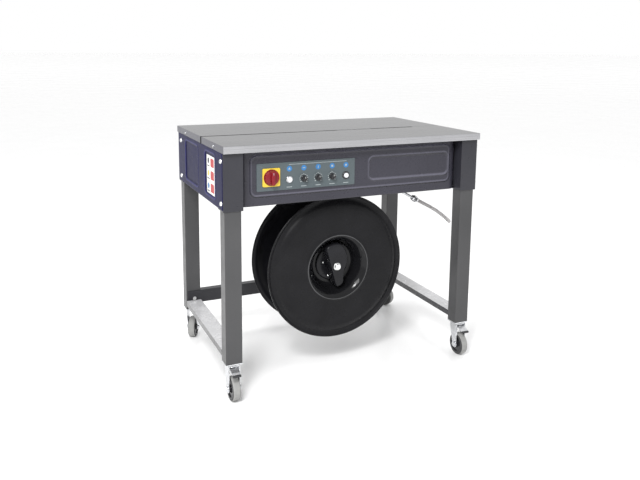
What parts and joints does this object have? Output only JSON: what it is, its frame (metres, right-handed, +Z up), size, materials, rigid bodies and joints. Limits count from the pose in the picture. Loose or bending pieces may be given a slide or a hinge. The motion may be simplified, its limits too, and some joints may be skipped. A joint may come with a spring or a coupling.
{
  "type": "table strapping machine",
  "caption": "Semi-automatic table strapping machine on castors: stainless slotted table, sheet body with control plate, open strap reel hung below on a fixed shaft.",
  "frame": {"origin": "on the floor, at the middle of the footprint", "axes": "+X right along the table's long side seen from the front, +Y to the back, +Z up"},
  "size_m": [0.9333, 0.5844, 0.787],
  "materials": {
    "grey_paint": "dark grey powder coat",
    "blue_grey_paint": "smooth dark blue-grey paint",
    "dark_paint": "near-black paint",
    "stainless": "brushed stainless sheet",
    "zinc": "bright zinc plate",
    "machined": "machined steel",
    "plate_green": "grey-green control plate",
    "yellow": "yellow switch plate",
    "red": "red switch knob",
    "white": "white push-button",
    "black_plastic": "moulded black plastic",
    "pale_plastic": "pale housing",
    "motor_paint": "motor paint",
    "castings": "cast housing",
    "belt": "belt rubber",
    "tyre": "grey non-marking tread",
    "hose": "clear hose"
  },
  "bodies": {
    "frame": {"leg_front_left": "grey_paint", "leg_front_right": "grey_paint", "leg_rear_left": "grey_paint", "leg_rear_right": "grey_paint", "side_rails": "grey_paint", "rear_stretcher": "dark_paint", "corner_posts": "grey_paint", "front_panel": "grey_paint", "rear_panel": "grey_paint", "left_cover": "blue_grey_paint", "right_cover": "blue_grey_paint", "floor_pan": "dark_paint", "table_front_plate": "stainless", "table_rear_plate": "stainless", "cover_screws": "zinc", "frame_bolts": "zinc", "control_plate": "plate_green", "switch_plate": "yellow", "button_bezels": "black_plastic", "control_box": "pale_plastic", "reel_bracket": "dark_paint", "reel_shaft": "zinc", "guide_rod": "zinc", "guide_nut": "zinc", "guide_hose": "hose", "motor": "motor_paint", "drive_belt": "belt", "gearbox": "castings", "sealing_head": "machined", "castor_plates": "zinc"},
    "reel": {"reel_bearings": "zinc", "reel_hub": "black_plastic", "rear_flange": "black_plastic"},
    "front_flange": {"front_flange": "black_plastic"},
    "locking_handle": {"locking_handle": "black_plastic", "handle_bolt": "zinc"},
    "motor_pulley": {"motor_pulley": "machined"},
    "gearbox_pulley": {"gearbox_pulley": "machined"},
    "cam_shaft": {"cam_shaft": "machined"},
    "feed_roller": {"feed_roller": "belt"},
    "main_switch": {"main_switch_knob": "red"},
    "reset_button": {"reset_button": "white"},
    "feed_button": {"feed_button": "white"},
    "timer_knob_1": {"timer_knob_1": "black_plastic"},
    "timer_knob_2": {"timer_knob_2": "black_plastic"},
    "timer_knob_3": {"timer_knob_3": "black_plastic"},
    "castor_front_left": {"castor_fork_front_left": "zinc"},
    "wheel_front_left": {"wheel_front_left": "black_plastic", "tyre_front_left": "tyre"},
    "brake_pedal_left": {"brake_pedal_left": "zinc"},
    "castor_front_right": {"castor_fork_front_right": "zinc"},
    "wheel_front_right": {"wheel_front_right": "black_plastic", "tyre_front_right": "tyre"},
    "brake_pedal_right": {"brake_pedal_right": "zinc"},
    "castor_rear_left": {"castor_fork_rear_left": "zinc"},
    "wheel_rear_left": {"wheel_rear_left": "black_plastic", "tyre_rear_left": "tyre"},
    "castor_rear_right": {"castor_fork_rear_right": "zinc"},
    "wheel_rear_right": {"wheel_rear_right": "black_plastic", "tyre_rear_right": "tyre"}
  },
  "joints": [
    {"name": "reel_spin", "type": "hinge", "parent": "frame", "child": "reel", "pos_m": [-0.026, -0.088, 0.348], "axis": [0, 1, 0], "continuous": true},
    {"name": "front_flange_pull", "type": "slide", "parent": "reel", "child": "front_flange", "axis": [0, -1, 0], "range_m": [0, 0.2]},
    {"name": "locking_handle_turn", "type": "hinge", "parent": "front_flange", "child": "locking_handle", "pos_m": [-0.026, -0.124, 0.348], "axis": [0, 1, 0], "range_deg": [-90, 0]},
    {"name": "gearbox_pulley_spin", "type": "hinge", "parent": "frame", "child": "gearbox_pulley", "pos_m": [0.07, 0.084, 0.7], "axis": [0, 1, 0], "continuous": true},
    {"name": "motor_pulley_spin", "type": "hinge", "parent": "frame", "child": "motor_pulley", "pos_m": [-0.17, 0.084, 0.672], "axis": [0, 1, 0], "continuous": true},
    {"name": "cam_shaft_spin", "type": "hinge", "parent": "frame", "child": "cam_shaft", "pos_m": [0.07, -0.04, 0.67], "axis": [0, 1, 0], "continuous": true},
    {"name": "feed_roller_spin", "type": "hinge", "parent": "frame", "child": "feed_roller", "pos_m": [0.176, -0.04, 0.7], "axis": [0, 1, 0], "continuous": true},
    {"name": "main_switch_turn", "type": "hinge", "parent": "frame", "child": "main_switch", "pos_m": [-0.288, -0.248, 0.681], "axis": [0, 1, 0], "range_deg": [0, 90]},
    {"name": "timer_knob_1_turn", "type": "hinge", "parent": "frame", "child": "timer_knob_1", "pos_m": [-0.181, -0.248, 0.671], "axis": [0, 1, 0], "range_deg": [-140, 140]},
    {"name": "timer_knob_2_turn", "type": "hinge", "parent": "frame", "child": "timer_knob_2", "pos_m": [-0.133, -0.248, 0.671], "axis": [0, 1, 0], "range_deg": [-140, 140]},
    {"name": "timer_knob_3_turn", "type": "hinge", "parent": "frame", "child": "timer_knob_3", "pos_m": [-0.085, -0.248, 0.671], "axis": [0, 1, 0], "range_deg": [-140, 140]},
    {"name": "reset_button_press", "type": "slide", "parent": "frame", "child": "reset_button", "axis": [0, 1, 0], "range_m": [0, 0.003], "stiffness_N_per_m": 300, "springref_m": -0.002},
    {"name": "feed_button_press", "type": "slide", "parent": "frame", "child": "feed_button", "axis": [0, 1, 0], "range_m": [0, 0.003], "stiffness_N_per_m": 300, "springref_m": -0.002},
    {"name": "castor_front_left_swivel", "type": "hinge", "parent": "frame", "child": "castor_front_left", "pos_m": [-0.415, -0.2435, 0.11], "axis": [0, 0, 1], "continuous": true},
    {"name": "wheel_front_left_spin", "type": "hinge", "parent": "castor_front_left", "child": "wheel_front_left", "pos_m": [-0.415, -0.2555, 0.0375], "axis": [1, 0, 0], "continuous": true},
    {"name": "brake_pedal_left_press", "type": "hinge", "parent": "castor_front_left", "child": "brake_pedal_left", "pos_m": [-0.415, -0.2575, 0.101], "axis": [1, 0, 0], "range_deg": [0, 12]},
    {"name": "castor_front_right_swivel", "type": "hinge", "parent": "frame", "child": "castor_front_right", "pos_m": [0.415, -0.2435, 0.11], "axis": [0, 0, 1], "continuous": true},
    {"name": "wheel_front_right_spin", "type": "hinge", "parent": "castor_front_right", "child": "wheel_front_right", "pos_m": [0.415, -0.2555, 0.0375], "axis": [1, 0, 0], "continuous": true},
    {"name": "brake_pedal_right_press", "type": "hinge", "parent": "castor_front_right", "child": "brake_pedal_right", "pos_m": [0.415, -0.2575, 0.101], "axis": [1, 0, 0], "range_deg": [0, 12]},
    {"name": "castor_rear_left_swivel", "type": "hinge", "parent": "frame", "child": "castor_rear_left", "pos_m": [-0.415, 0.2435, 0.11], "axis": [0, 0, 1], "continuous": true},
    {"name": "wheel_rear_left_spin", "type": "hinge", "parent": "castor_rear_left", "child": "wheel_rear_left", "pos_m": [-0.40937, 0.2541, 0.0375], "axis": [-0.8829, 0.4695, 0], "continuous": true},
    {"name": "castor_rear_right_swivel", "type": "hinge", "parent": "frame", "child": "castor_rear_right", "pos_m": [0.415, 0.2435, 0.11], "axis": [0, 0, 1], "continuous": true},
    {"name": "wheel_rear_right_spin", "type": "hinge", "parent": "castor_rear_right", "child": "wheel_rear_right", "pos_m": [0.40937, 0.2541, 0.0375], "axis": [-0.8829, -0.4695, 0], "continuous": true}
  ],
  "couplings": [
    {"joint": "motor_pulley_spin", "follows": "gearbox_pulley_spin", "ratio": 2.5},
    {"joint": "cam_shaft_spin", "follows": "gearbox_pulley_spin", "ratio": 0.1}
  ]
}
